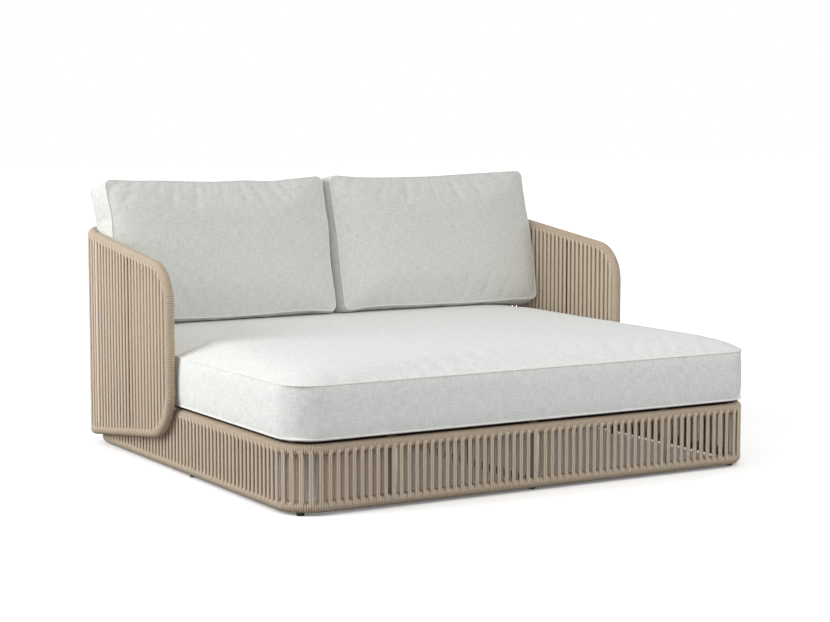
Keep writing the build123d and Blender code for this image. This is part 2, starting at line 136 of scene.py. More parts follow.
# Millimetres by which each seam stands outside a straight side, at nine even places along it.
CUSHION_SIDES = {
    "left": dict(right=[0, 0, -2, -3, 0, 4, 1, 0, 0], left=[4, 2, -1, -4, -5, -6, -8, -1, 4],
                 top=[5, -1, -3, -8, -11, -9, -13, -6, 2], foot=[-2, -9, -11, -8, -7, -8, -11, -12, -4]),
    "right": dict(right=[-2, 0, 3, 4, 2, 1, -3, -5, -4], left=[1, 1, 2, 1, 0, 1, 4, 5, 4],
                  top=[4, -5, -9, -9, -9, -5, -1, 2, 5], foot=[-4, -12, -12, -9, -8, -6, -6, -8, -6])}
# Nearest and furthest that a cushion comes to the object's middle, and what it keeps from rail and mattress.
CUSHION_NEAR, CUSHION_FAR, TOUCH = 0.0008, 0.8770, 0.0005
# From here on back the mattress's top doesn't rise over its plain crown, under the cushions.
PLAIN_FROM = CUSHION["face_y"] - 0.1

# Seams: a ring of points lies this far inside each seam on the faces, and the boxing strip's outermost
# rows at these shares of its height. The strip bulges by a sine to this power.
SEAM_RING = 0.005
FIRST_LEVEL, LAST_LEVEL = 0.035, 0.965
BULGE_POWER = 0.6
# Piping: the mattress's low one is thicker and tucked in, its top one stands a little over the seam.
PIPING_RADIUS, LOW_PIPING_RADIUS, PIPING_SIDES = 0.0024, 0.0036, 8
TOP_PIPING_LIFT, LOW_PIPING_TUCK = 0.0004, 0.0010
# How stiff the cloth is while it swells, and for how many frames it does.
CLOTH = dict(quality=4, tension_stiffness=40, compression_stiffness=40, bending_stiffness=2)
SWELL_FRAMES = 20

# Rope's braid: width and length of a pick, how strongly its height colours the rope as painted shade in its
# hollows and painted highlight on its crests, and the flecks' scales round and along.
PICK_WIDE, PICK_LONG, PICK_SHADE_SHARE = 0.0053, 0.0075, 0.22
FLECK_SCALE = (420.0, 90.0, 1.0)
# Linen's threads along and across, the low end and the contrast of their sum, and the cloth's sheen.
THREAD_SCALES = ((360.0, 30.0, 1.0), (30.0, 360.0, 1.0))
THREAD_LOW, THREAD_CONTRAST, SHEEN = 0.64, 1.4, 0.15
PAINTED = dict(rough=0.5, scale=(30, 30, 30))

# Floor: its shade for the light that bounces off it, and what the camera sees, which glows more and more
# from the near distance to the far one. Glow: (distance, strength).
FLOOR_HALF, FLOOR_SHADE, FLOOR_SEEN = 30, 0.28, 1.25
GLOW_NEAR, GLOW_FAR = (1.6, 0.12), (4.0, 0.60)
GLOW_COLOUR = (0.97, 0.99, 1, 1)
# Soft light from all round.
SKY = 0.60
# Softboxes: name, place, aim and watts.
LAMPS = (("left_softbox", (-4.3, 0.7, 2.0), (-0.2, 0, 0.3), 133),
         ("high_softbox", (1.0, -3.2, 3.0), (0, -0.4, 0.2), 32),
         ("front_softbox", (0.3, -4.0, 1.2), (0, 0, 0.2), 17))
LAMP_SIZE = 2.5
# Lens and sensor in millimetres, tilt and turn in degrees.
CAMERA = dict(lens=85.36, sensor=36, place=(-3.4287, -5.8788, 1.2152), tilt=83.959, turn=-30.425)


def new_piece(name, points, quads, uv=None, smooth=True, tris=None):
    """A mesh object from arrays: points (n, 3), quads (m, 4), extra triangles, and one uv pair for each
    face corner."""
    mesh = bpy.data.meshes.new(name)
    points = np.asarray(points, np.float32)
    quads = np.asarray(quads, np.int32).reshape(-1, 4)
    tris = np.zeros((0, 3), np.int32) if tris is None else np.asarray(tris, np.int32).reshape(-1, 3)
    loops = np.concatenate([quads.ravel(), tris.ravel()])
    counts = np.concatenate([np.full(len(quads), 4), np.full(len(tris), 3)]).astype(np.int32)
    starts = np.concatenate([[0], np.cumsum(counts)[:-1]]).astype(np.int32)
    mesh.vertices.add(len(points))
    mesh.vertices.foreach_set("co", points.ravel())
    mesh.loops.add(len(loops))
    mesh.loops.foreach_set("vertex_index", loops)
    mesh.polygons.add(len(counts))
    mesh.polygons.foreach_set("loop_start", starts)
    mesh.polygons.foreach_set("use_smooth", np.full(len(counts), smooth))
    mesh.update(calc_edges=True)
    if uv is not None:
        layer = mesh.uv_layers.new(name="cloth")
        layer.data.foreach_set("uv", np.asarray(uv, np.float32).ravel())
    piece = bpy.data.objects.new(name, mesh)
    bpy.context.scene.collection.objects.link(piece)
    return piece


def corner_pairs(*corners):
    """One uv pair per face corner, from each corner's two arrays, which are spread to one shape."""
    shape = np.broadcast_shapes(*(np.shape(value) for pair in corners for value in pair))
    spread = [np.stack([np.broadcast_to(value, shape) for value in pair], -1) for pair in corners]
    return np.stack(spread, -2).reshape(-1, 2)


def many_tubes(name, lines, radius, sides):
    """Round tubes along many short lines at once: lines is (count, rows, 3). Each ring lies across the line's
    own direction, point = centre + radius (cos a * u + sin a * v), and both ends close on their centre.
    The uv runs round the tube and along it, both in metres."""
    lines = np.asarray(lines, float)
    count, rows, _ = lines.shape
    along = np.gradient(lines, axis=1)
    along /= np.linalg.norm(along, axis=2, keepdims=True)
    mean = lines[:, -1] - lines[:, 0]
    # The helper axis is X for steep lines and Z for flat ones, so that it never lies along them.
    steep = np.abs(mean[:, 2:3]) > 0.5 * np.linalg.norm(mean, axis=1, keepdims=True)
    helper = np.where(steep, [[1.0, 0, 0]], [[0, 0, 1.0]])
    u = np.cross(along, helper[:, None, :])
    u /= np.linalg.norm(u, axis=2, keepdims=True)
    v = np.cross(along, u)
    a = np.arange(sides) * 2 * np.pi / sides
    ring = np.cos(a)[None, None, :, None] * u[:, :, None] + np.sin(a)[None, None, :, None] * v[:, :, None]
    body = (lines[:, :, None] + radius * ring).reshape(-1, 3)
    base = np.arange(count)[:, None, None] * rows * sides
    r = np.arange(rows - 1)[None, :, None] * sides
    k = np.arange(sides)[None, None, :]
    k2 = (k + 1) % sides
    here, there = base + r + k, base + r + k2
    quads = np.stack([here, there, there + sides, here + sides], -1).reshape(-1, 4)
    caps = len(body) + np.arange(count)
    tail = caps + count
    first = base[:, 0] + np.arange(sides)[None]
    first2 = base[:, 0] + (np.arange(sides)[None] + 1) % sides
    last, last2 = first + (rows - 1) * sides, first2 + (rows - 1) * sides
    tris = np.concatenate([
        np.stack([np.broadcast_to(caps[:, None], first.shape), first2, first], -1).reshape(-1, 3),
        np.stack([np.broadcast_to(tail[:, None], first.shape), last, last2], -1).reshape(-1, 3)])
    points = np.concatenate([body, lines[:, 0], lines[:, -1]])
    pieces = np.linalg.norm(np.diff(lines, axis=1), axis=2)
    run = np.concatenate([np.zeros((count, 1)), np.cumsum(pieces, axis=1)], 1)
    run = run + (np.arange(count) * PATTERN_STEP % 1.0)[:, None]
    girth = 2 * np.pi * radius
    here, there = k / sides * girth, (k + 1) / sides * girth
    low, high = run[:, :-1, None], run[:, 1:, None]
    uv = corner_pairs((here, low), (there, low), (there, high), (here, high))
    uv = np.concatenate([uv, np.zeros((len(tris) * 3, 2))])
    return new_piece(name, points, quads, uv, tris=tris)


def closed_tube(name, centre, side, up, radius, sides, squash=1.0):
    """A round tube along a closed line: point = centre + radius (cos a * side + squash sin a * up). The uv
    runs round it and along it, both in metres."""
    n = len(centre)
    a = np.arange(sides) * 2 * np.pi / sides
    across = np.cos(a)[None, :, None] * side[:, None] + squash * np.sin(a)[None, :, None] * up[:, None]
    body = centre[:, None] + radius * across
    i = np.arange(n)[:, None] * sides
    i2 = ((np.arange(n) + 1) % n)[:, None] * sides
    k = np.arange(sides)[None]
    k2 = (k + 1) % sides
    quads = np.stack([i + k, i2 + k, i2 + k2, i + k2], -1).reshape(-1, 4)
    step = np.linalg.norm(np.roll(centre, -1, 0) - centre, axis=1)
    run = np.concatenate([[0], np.cumsum(step)])
    girth = 2 * np.pi * radius
    here, there = k / sides * girth, (k + 1) / sides * girth
    low, high = run[:-1, None], run[1:, None]
    uv = corner_pairs((here, low), (here, high), (there, high), (there, low))
    return new_piece(name, body.reshape(-1, 3), quads, uv)


class Loop:
    """A closed line of straight runs and arcs. On an arc the point is centre + radius (cos t * e1 +
    sin t * e2), and the direction is its derivative."""

    def __init__(self):
        self.parts = []
        self.length = 0.0

    def line(self, start, end, side):
        """Adds a straight run with its outward side."""
        start, end = np.array(start, float), np.array(end, float)
        size = np.linalg.norm(end - start)
        self.parts.append(("line", self.length, size, start, (end - start) / size, np.array(side, float)))
        self.length += size

    def arc(self, centre, start, heading, angle, side=None):
        """Adds an arc that sets out from start in a heading; its side is given, or points off the centre."""
        centre, start = np.array(centre, float), np.array(start, float)
        radius = np.linalg.norm(start - centre)
        e1, e2 = (start - centre) / radius, np.array(heading, float)
        fixed = None if side is None else np.array(side, float)
        self.parts.append(("arc", self.length, radius * angle, centre, (radius, e1, e2), fixed))
        self.length += radius * angle

    def at(self, s):
        """Point, direction, outward side and third axis at the distances s."""
        s = np.asarray(s, float) % self.length
        point, along, side = (np.zeros((len(s), 3)) for _ in range(3))
        for kind, begin, size, origin, data, fixed in self.parts:
            m = (s >= begin) & (s < begin + size + TINY)
            q = (s[m] - begin)[:, None]
            if kind == "line":
                point[m], along[m], side[m] = origin + q * data, data, fixed
            else:
                radius, e1, e2 = data
                t = q / radius
                out = np.cos(t) * e1 + np.sin(t) * e2
                point[m] = origin + radius * out
                along[m] = -np.sin(t) * e1 + np.cos(t) * e2
                side[m] = out if fixed is None else fixed
        return point, along, side, np.cross(side, along)


def base_loop(height):
    """A platform rail: a rounded rectangle, walked anticlockwise from the front left bend."""
    loop = Loop()
    corners = [(1, -1, (1, 0)), (1, 1, (0, 1)), (-1, 1, (-1, 0)), (-1, -1, (0, -1))]
    outs = [(0, -1), (1, 0), (0, 1), (-1, 0)]
    start = np.array([-STRAIGHT_X, BASE_Y - BASE_Y_HALF, height])
    for (side_x, side_y, head), out in zip(corners, outs):
        centre = np.array([side_x * STRAIGHT_X, BASE_Y + side_y * STRAIGHT_Y, height])
        end = centre + BASE_BEND * np.array([out[0], out[1], 0])
        loop.line(start, end, (out[0], out[1], 0))
        loop.arc(centre, end, (head[0], head[1], 0), math.pi / 2)
        start = centre + BASE_BEND * np.array([head[0], head[1], 0])
    return loop


def slope_point(x, ahead, upper):
    """A point of the shell's upper or lower rail plane, so far ahead of the back down the slope."""
    sign = 1 if upper else -1
    height = (TOP_BACK if upper else LOW_BACK) - sign * ahead * SIN
    return np.array([x, SHELL_Y - ahead * COS, height])


def arm_centre(upper):
    """Centre of the bend between a sloping rail and the arm's upright front."""
    sign, radius = (1, ARM_TOP_BEND) if upper else (-1, ARM_LOW_BEND)
    cy = ARM_Y + radius
    plane = (TOP_BACK if upper else LOW_BACK) - sign * (SHELL_Y - cy) * TAN
    return cy, plane - sign * radius / COS


def shell_loop():
    """The shell's tube: along the back's top to the right, down the right arm, along the back's foot to the
    left, and up the left arm."""
    loop = Loop()
    quarter = math.pi / 2
    turn = quarter - SLOPE
    for side, first in ((1, True), (-1, False)):
        x = side * SHELL_X
        out = (side, 0, 0)
        for upper in ((True, False) if first else (False, True)):
            sign = 1 if upper else -1
            forward = np.array([0, -COS, -sign * SIN])
            cy, cz = arm_centre(upper)
            radius = ARM_TOP_BEND if upper else ARM_LOW_BEND
            near = np.array([x, cy - radius * SIN, cz + sign * radius * COS])
            front = np.array([x, ARM_Y, cz])
            bend_end = slope_point(x, SHELL_BEND, upper)
            bend_start = slope_point(side * SHELL_STRAIGHT, 0, upper)
            centre = slope_point(side * SHELL_STRAIGHT, SHELL_BEND, upper)
            if upper == first:
                loop.line(slope_point(-side * SHELL_STRAIGHT, 0, upper), bend_start, -forward)
                loop.arc(centre, bend_start, (side, 0, 0), quarter)
                loop.line(bend_end, near, out)
                loop.arc((x, cy, cz), near, forward, turn, out)
                other_cz = arm_centre(not upper)[1]
                loop.line(front, (x, ARM_Y, other_cz), out)
            else:
                loop.arc((x, cy, cz), front, (0, 0, sign), turn, out)
                loop.line(near, bend_end, out)
                loop.arc(centre, bend_end, -forward, quarter)
    return loop


def windings(loop, marks):
    """Turn borders round a rail: between neighbouring strand places lies a whole number of rope turns."""
    marks = np.sort(np.asarray(marks) % loop.length)
    last = marks[0] + loop.length
    borders = []
    for here, there in zip(marks, np.append(marks[1:], last)):
        turns = max(1, int(round((there - here) / ROPE)))
        borders.append(here + (there - here) * np.arange(turns) / turns)
    return np.concatenate(borders), last


def rope_wrap(name, loop, marks):
    """Rope wound turn by turn round a rail. Each turn has four rows, its radius is the winding's plus the
    rope's half round, sqrt(r^2 - d^2) at distance d from the turn's middle, and every row moves on by one
    turn per girth. The uv runs across a turn and along the rope, both in metres."""
    borders, last = windings(loop, marks)
    turns, rows, around = len(borders), len(TURN_ROWS), TURN_SIDES
    width = np.diff(np.append(borders, last))
    s = (borders[:, None] + width[:, None] * TURN_ROWS).ravel()
    off_middle = np.abs(TURN_ROWS - 0.5) * ROPE
    lift = np.tile(np.sqrt(np.maximum((ROPE / 2) ** 2 - off_middle ** 2, 0)), turns)
    pitch = np.repeat(width, rows)
    k = np.arange(around)
    shifted = s[:, None] + pitch[:, None] * (k / around - 0.5)[None]
    point, _, side, up = loop.at(shifted.ravel())
    angle = np.tile(k * 2 * np.pi / around, len(s))[:, None] + np.pi
    radius = (WRAP + np.repeat(lift, around))[:, None]
    body = point + radius * (np.cos(angle) * side + np.sin(angle) * up)
    n = len(s)
    i = np.arange(n)[:, None]
    k = k[None]
    k2 = (k + 1) % around
    # Past the girth's end a row goes on as the same row of the next turn.
    step = np.where(k + 1 == around, rows, 0)
    here = i * around + k
    ahead = ((i + 1) % n) * around + k
    ahead_up = ((i + 1 + step) % n) * around + k2
    here_up = ((i + step) % n) * around + k2
    quads = np.stack([here, here_up, ahead_up, ahead], -1).reshape(-1, 4)
    girth = 2 * np.pi * (WRAP + ROPE / 2)
    row = np.tile(TURN_ROWS, turns) * ROPE
    # A turn's last row meets the next turn's first one, which is a whole rope on.
    following = np.append(row[1:], 0)
    following = np.where(following == 0, ROPE, following)
    turn_number = np.repeat(np.arange(turns), rows)[:, None]
    begun, done = (k / around + turn_number) * girth, ((k + 1) / around + turn_number) * girth
    low, high = row[:, None], following[:, None]
    uv = corner_pairs((low, begun), (low, done), (high, done), (high, begun))
    return new_piece(name, body, quads, uv)


# Where the strands stand.
def lattice(first, limit):
    """Places one pitch apart from the first one up to a limit."""
    return first + PITCH * np.arange(int((limit - first) // PITCH) + 1)


def between(lead, tail, radius):
    """Places round a corner, in equal steps of about a pitch between the last strands of its two sides, which
    stand lead before the bend and tail behind it. They are distances from the bend's start."""
    total = lead + radius * math.pi / 2 + tail
    steps = max(1, round(total / PITCH))
    return total * np.arange(1, steps) / steps - lead


def bend_places(side_x, side_y, straight_x, straight_y, radius, squash, places):
    """Points, directions and outward sides of strands round a rounded corner, from distances along it."""
    arc = radius * math.pi / 2
    turn = np.clip(places, 0, arc) / radius
    before, after = np.minimum(places, 0), np.maximum(places - arc, 0)
    x = side_x * (straight_x + radius * np.sin(turn) + before)
    y = straight_y + side_y * (radius * np.cos(turn) - after) * squash
    rx, ry = np.cos(turn), np.sin(turn) * squash
    size = np.hypot(rx, ry)
    tangent = np.stack([side_x * rx / size, -side_y * ry / size], 1)
    normal = np.stack([side_x * ry / size, side_y * rx / size], 1)
    return np.stack([x, y], 1), tangent, normal


def straight_places(x, y, tangent, normal):
    """Points, directions and outward sides of strands along a straight side."""
    x, y = np.broadcast_arrays(np.asarray(x, float), np.asarray(y, float))
    at = np.stack([x, y], 1)
    return at, np.tile(np.array(tangent, float), (len(at), 1)), np.tile(np.array(normal, float), (len(at), 1))


left_x = lattice(FRONT_GAP / 2 - FRONT_SHIFT, STRAIGHT_X)
right_x = lattice(FRONT_GAP / 2 + FRONT_SHIFT, STRAIGHT_X)
back_x = lattice(PITCH / 2, STRAIGHT_X)
front_line, back_line = np.concatenate([-left_x[::-1], right_x]), np.concatenate([-back_x[::-1], back_x])
base_panels = {
    "base_front": straight_places(front_line, BASE_Y - BASE_Y_HALF, (1, 0), (0, -1)),
    "base_back": straight_places(back_line, BASE_Y + BASE_Y_HALF, (-1, 0), (0, 1))}
# How far the straight sides' last strands stand from the middle: side x, then side y.
last_x = {-1: {-1: left_x[-1], 1: back_x[-1]}, 1: {-1: right_x[-1], 1: back_x[-1]}}
last_y = {}
for side, phase, label in ((-1, LEFT_PHASE, "left"), (1, RIGHT_PHASE, "right")):
    ahead, behind = lattice(PITCH - phase, STRAIGHT_Y), lattice(phase, STRAIGHT_Y)
    last_y[side] = {-1: ahead[-1], 1: behind[-1]}
    ys = BASE_Y + np.concatenate([-ahead[::-1], behind]) + SIDE_SHIFTS[side]
    base_panels["base_" + label] = straight_places(side * BASE_X_HALF, ys, (0, side), (side, 0))
for side_y, label_y in ((-1, "front"), (1, "back")):
    for side_x, label_x in ((-1, "left"), (1, "right")):
        label = label_y + "_" + label_x
        lead, tail = STRAIGHT_X - last_x[side_x][side_y], STRAIGHT_Y - last_y[side_x][side_y]
        places = between(lead, tail, BASE_BEND) + CORNER_SHIFTS.get(label, 0)
        base_panels["base_" + label] = bend_places(
            side_x, side_y, STRAIGHT_X, BASE_Y + side_y * STRAIGHT_Y, BASE_BEND, 1, places)

shell_x = lattice(PITCH / 2, SHELL_STRAIGHT)
shell_line_x = np.concatenate([-shell_x[::-1], shell_x])
bend_y = SHELL_Y - SHELL_BEND * COS
shell_panels = {"shell_back": straight_places(shell_line_x, SHELL_Y, (-1, 0), (0, 1))}
for side, first, label in ((-1, LEFT_FIRST, "left"), (1, RIGHT_FIRST, "right")):
    ys = ARM_Y + lattice(first, bend_y - ARM_Y)
    if side < 0:
        ys = np.where(ys < SLOT_Y[side], ys + LEFT_SHIFT, ys)
    else:
        ys = np.concatenate([[ARM_Y + RIGHT_EXTRA], ys])
    shell_panels["arm_" + label] = straight_places(side * SHELL_X, ys, (0, side), (side, 0))
    places = between(SHELL_STRAIGHT - shell_x[-1], (bend_y - ys[-1]) / COS, SHELL_BEND)
    places = places + CORNER_SHIFTS.get("shell_" + label, 0)
    shell_panels["shell_corner_" + label] = bend_places(
        side, 1, SHELL_STRAIGHT, bend_y, SHELL_BEND, COS, places)


def rail_height(at, upper):
    """Height of the shell's rail centre over plan points: the sloping plane, and the bend at the arm's
    front."""
    sign = 1 if upper else -1
    radius = ARM_TOP_BEND if upper else ARM_LOW_BEND
    z = (TOP_BACK if upper else LOW_BACK) - sign * (SHELL_Y - at[:, 1]) * TAN
    cy, cz = arm_centre(upper)
    reach = cy - at[:, 1]
    bend = cz + sign * np.sqrt(np.maximum(radius ** 2 - reach ** 2, 0))
    return np.where(reach > radius * SIN, bend, z)


def strands(name, panel, low, high, lean):
    """Two ropes side by side at each place, outside and inside the rails. A rope stands upright on its rails'
    height span. Near each rail it leans sideways by half a rope, as (1 - e)^2 for e rising from 0 at the
    rail to 1 at the lean's reach."""
    at, tangent, normal = panel
    low, high = np.broadcast_to(low, len(at)), np.broadcast_to(high, len(at))
    reach = (LEAN_REACH / (high - low))[:, None]
    t = np.concatenate([reach * LEAN_RINGS, 1 - reach * LEAN_RINGS[::-1]], 1)
    z = low[:, None] + (high - low)[:, None] * t
    edge = np.clip(np.minimum(t, 1 - t) / reach, 0, 1)
    slip = lean * ROPE / 2 * (1 - edge) ** 2
    lines = []
    for layer in (1, -1):
        for twin in (-1, 1):
            shift = twin * ROPE / 2 + slip
            xy = at[:, None] + tangent[:, None] * shift[..., None] + normal[:, None] * (layer * WRAP)
            lines.append(np.concatenate([xy, z[..., None]], 2))
    return many_tubes(name, np.concatenate(lines), ROPE / 2, STRAND_SIDES)


def marks_on(loop, places):
    """Distances along a rail of its nearest points to the given ones, out of a fine walk round it."""
    s = np.arange(0, loop.length, RAIL_STEP)
    walk = loop.at(s)[0]
    return s[np.argmin(((walk[None] - places[:, None]) ** 2).sum(2), axis=1)]


# Finishes.
def srgb(*values):
    """Linear colour from a display colour of 0 to 255, by the sRGB curve."""
    v = np.array(values, float) / 255
    return tuple(np.where(v <= 0.04045, v / 12.92, ((v + 0.055) / 1.055) ** 2.4).tolist())


def material(name, colour, rough):
    """A new material with its node tree and shader."""
    m = bpy.data.materials.new(name)
    m.use_nodes = True
    shader = m.node_tree.nodes["Principled BSDF"]
    shader.inputs["Base Color"].default_value = (*colour, 1)
    shader.inputs["Roughness"].default_value = rough
    return m, m.node_tree, shader


def add_node(tree, kind, inputs=(), **settings):
    """A shader node; inputs is a list of (socket, value or output socket)."""
    node = tree.nodes.new(kind)
    for key, value in settings.items():
        setattr(node, key, value)
    for socket, value in inputs:
        if isinstance(value, bpy.types.NodeSocket):
            tree.links.new(value, node.inputs[socket])
        else:
            node.inputs[socket].default_value = value
    return node


def colour_from(tree, shader, factor, dark, light):
    """Base colour that runs from dark to light with a factor."""
    ramp = add_node(tree, "ShaderNodeMix", [("Factor", factor)], data_type="RGBA")
    ramp.inputs[6].default_value = (*dark, 1)
    ramp.inputs[7].default_value = (*light, 1)
    tree.links.new(ramp.outputs[2], shader.inputs["Base Color"])


def bump_from(tree, shader, height, distance):
    """Relief from a height of about 0 to 1, that many metres deep."""
    bump = add_node(tree, "ShaderNodeBump", [("Height", height), ("Distance", distance), ("Strength", 1.0)])
    tree.links.new(bump.outputs["Normal"], shader.inputs["Normal"])


def math_node(tree, operation, first, second=0.0):
    """The output of one sum, product or function of one or two values."""
    return add_node(tree, "ShaderNodeMath", [(0, first), (1, second)], operation=operation).outputs[0]


def noise_node(tree, place, scale, **details):
    """Noise of a place that is stretched by a scale for each axis."""
    stretch = add_node(tree, "ShaderNodeMapping", [("Vector", place), ("Scale", scale)]).outputs[0]
    inputs = [("Vector", stretch), ("Scale", 1.0)] + list(details.items())
    return add_node(tree, "ShaderNodeTexNoise", inputs).outputs["Fac"]


def rope_material(name, dark, light, painted_groove_shade=0.0):
    """Braided outdoor rope: picks cross on both diagonals, height = sin(v/p + u/q) * sin(v/p - u/q), and that
    height also colours the rope, painted shade in the braid's hollows and painted highlight on its crests.
    Wound rope gets painted shade between its turns as |cos(pi u / rope)|^3, with u across a turn."""
    m, tree, shader = material(name, light, rough=0.8)
    uv = add_node(tree, "ShaderNodeUVMap", uv_map="cloth").outputs[0]
    across, along = add_node(tree, "ShaderNodeSeparateXYZ", [(0, uv)]).outputs[:2]
    wide = math_node(tree, "MULTIPLY", across, 2 * math.pi / PICK_WIDE)
    long = math_node(tree, "MULTIPLY", along, 2 * math.pi / PICK_LONG)
    one = math_node(tree, "SINE", math_node(tree, "ADD", long, wide))
    two = math_node(tree, "SINE", math_node(tree, "SUBTRACT", long, wide))
    picks = math_node(tree, "MULTIPLY", one, two)
    fleck = noise_node(tree, uv, FLECK_SCALE, Detail=3.0)
    # The picks' height also colours the rope: painted shade in the braid's hollows, painted highlight on its
    # crests.
    factor = math_node(tree, "ADD", math_node(tree, "MULTIPLY", picks, PICK_SHADE_SHARE), fleck)
    # Painted shade in the grooves between the turns of wound rope.
    if painted_groove_shade:
        turn = math_node(tree, "COSINE", math_node(tree, "MULTIPLY", across, math.pi / ROPE))
        deep = math_node(tree, "POWER", math_node(tree, "ABSOLUTE", turn), 3.0)
        factor = math_node(tree, "SUBTRACT", factor, math_node(tree, "MULTIPLY", deep, painted_groove_shade))
    colour_from(tree, shader, factor, dark, light)
    bump_from(tree, shader, math_node(tree, "ADD", picks, fleck), distance=0.0005)
    return m


def linen_material(name, dark, light):
    """Slubby linen: threads across and along, each a noise stretched twelve times in one direction. Its
    colour runs with their sum, less its low end and times a contrast."""
    m, tree, shader = material(name, light, rough=0.9)
    uv = add_node(tree, "ShaderNodeUVMap", uv_map="cloth").outputs[0]
    one, other = (noise_node(tree, uv, scale, Detail=3.0, Roughness=0.6) for scale in THREAD_SCALES)
    both = math_node(tree, "ADD", one, other)
    factor = math_node(tree, "MULTIPLY", math_node(tree, "SUBTRACT", both, THREAD_LOW), THREAD_CONTRAST)
    clamp = add_node(tree, "ShaderNodeClamp", [(0, factor)]).outputs[0]
    colour_from(tree, shader, clamp, dark, light)
    bump_from(tree, shader, both, distance=0.0006)
    shader.inputs["Sheen Weight"].default_value = SHEEN
    return m


def plain_material(name, dark, light, rough, scale, bump=0.0):
    """Paint, wood, plastic or steel with a soft mottle in object coordinates."""
    m, tree, shader = material(name, light, rough)
    place = add_node(tree, "ShaderNodeTexCoord").outputs["Object"]
    mottle = noise_node(tree, place, scale, Detail=4.0)
    colour_from(tree, shader, mottle, dark, light)
    if bump:
        bump_from(tree, shader, mottle, bump)
    return m


# Padded pieces.
def outline_point(t, side, half_u, half_v, bend):
    """A rounded rectangle by quarters: t in -1..1 runs along one side from corner middle to corner middle,
    straight and then round the bend. Sides 0 to 3 are right, top, left and foot."""
    half_main = np.where(side % 2 == 0, half_v, half_u) - bend
    arc = bend * math.pi / 4
    s = t * (half_main + arc)
    past = np.clip(np.abs(s) - half_main, 0, None) / bend
    along = np.sign(s) * (np.minimum(np.abs(s), half_main) + bend * np.sin(past))
    out = np.where(side % 2 == 0, half_u, half_v) - bend + bend * np.cos(past)
    u = np.where(side == 0, out, np.where(side == 2, -out, np.where(side == 1, -along, along)))
    v = np.where(side == 0, along, np.where(side == 2, -along, np.where(side == 1, out, -out)))
    return u, v


def square_to_outline(gu, gv, half_u, half_v, bend):
    """Maps the square -1..1 on a rounded rectangle: each square ring m becomes m times the outline."""
    m = np.maximum(np.abs(gu), np.abs(gv))
    safe = np.where(m == 0, 1, m)
    u, v = gu / safe, gv / safe
    side = np.where(u >= 1 - TINY, 0, np.where(v >= 1 - TINY, 1, np.where(u <= -1 + TINY, 2, 3)))
    t = np.where(side == 0, v, np.where(side == 1, -u, np.where(side == 2, -v, u)))
    x, y = outline_point(t, side, half_u, half_v, bend)
    return m * x, m * y, m


def spaced(half, cells):
    """Grid values -1..1 in equal steps, with one more ring just inside each edge."""
    ring = 1 - SEAM_RING / half
    inner = np.linspace(-1, 1, 2 * cells + 1)[1:-1]
    return np.concatenate([[-1, -ring], inner, [ring, 1]])


def along_side(place, heights):
    """A smooth curve in metres through evenly spaced heights in millimetres over -1..1: each span is the
    cubic that meets its neighbours' slopes."""
    heights = np.array(heights) / 1000
    last = len(heights) - 1
    s = (np.clip(place, -1, 1) + 1) / 2 * last
    i = np.minimum(s.astype(int), last - 1)
    f = s - i
    before, here, there, beyond = (heights[np.clip(i + k, 0, last)] for k in (-1, 0, 1, 2))
    slope_here, slope_there = (there - before) / 2, (beyond - here) / 2
    step = f * f * (3 - 2 * f)
    return here + (there - here) * step + slope_here * f * (1 - f) ** 2 - slope_there * f * f * (1 - f)


def pulled_sides(x, y, half_u, half_v, sides):
    """Moves each side out or in by its own curve of the place along it, fading as the square towards the
    middle."""
    u, v = x / half_u, y / half_v
    right, left = along_side(v, sides["right"]), along_side(v, sides["left"])
    top, foot = along_side(u, sides["top"]), along_side(u, sides["foot"])
    return x + np.where(u > 0, right, -left) * u ** 2, y + np.where(v > 0, top, -foot) * v ** 2


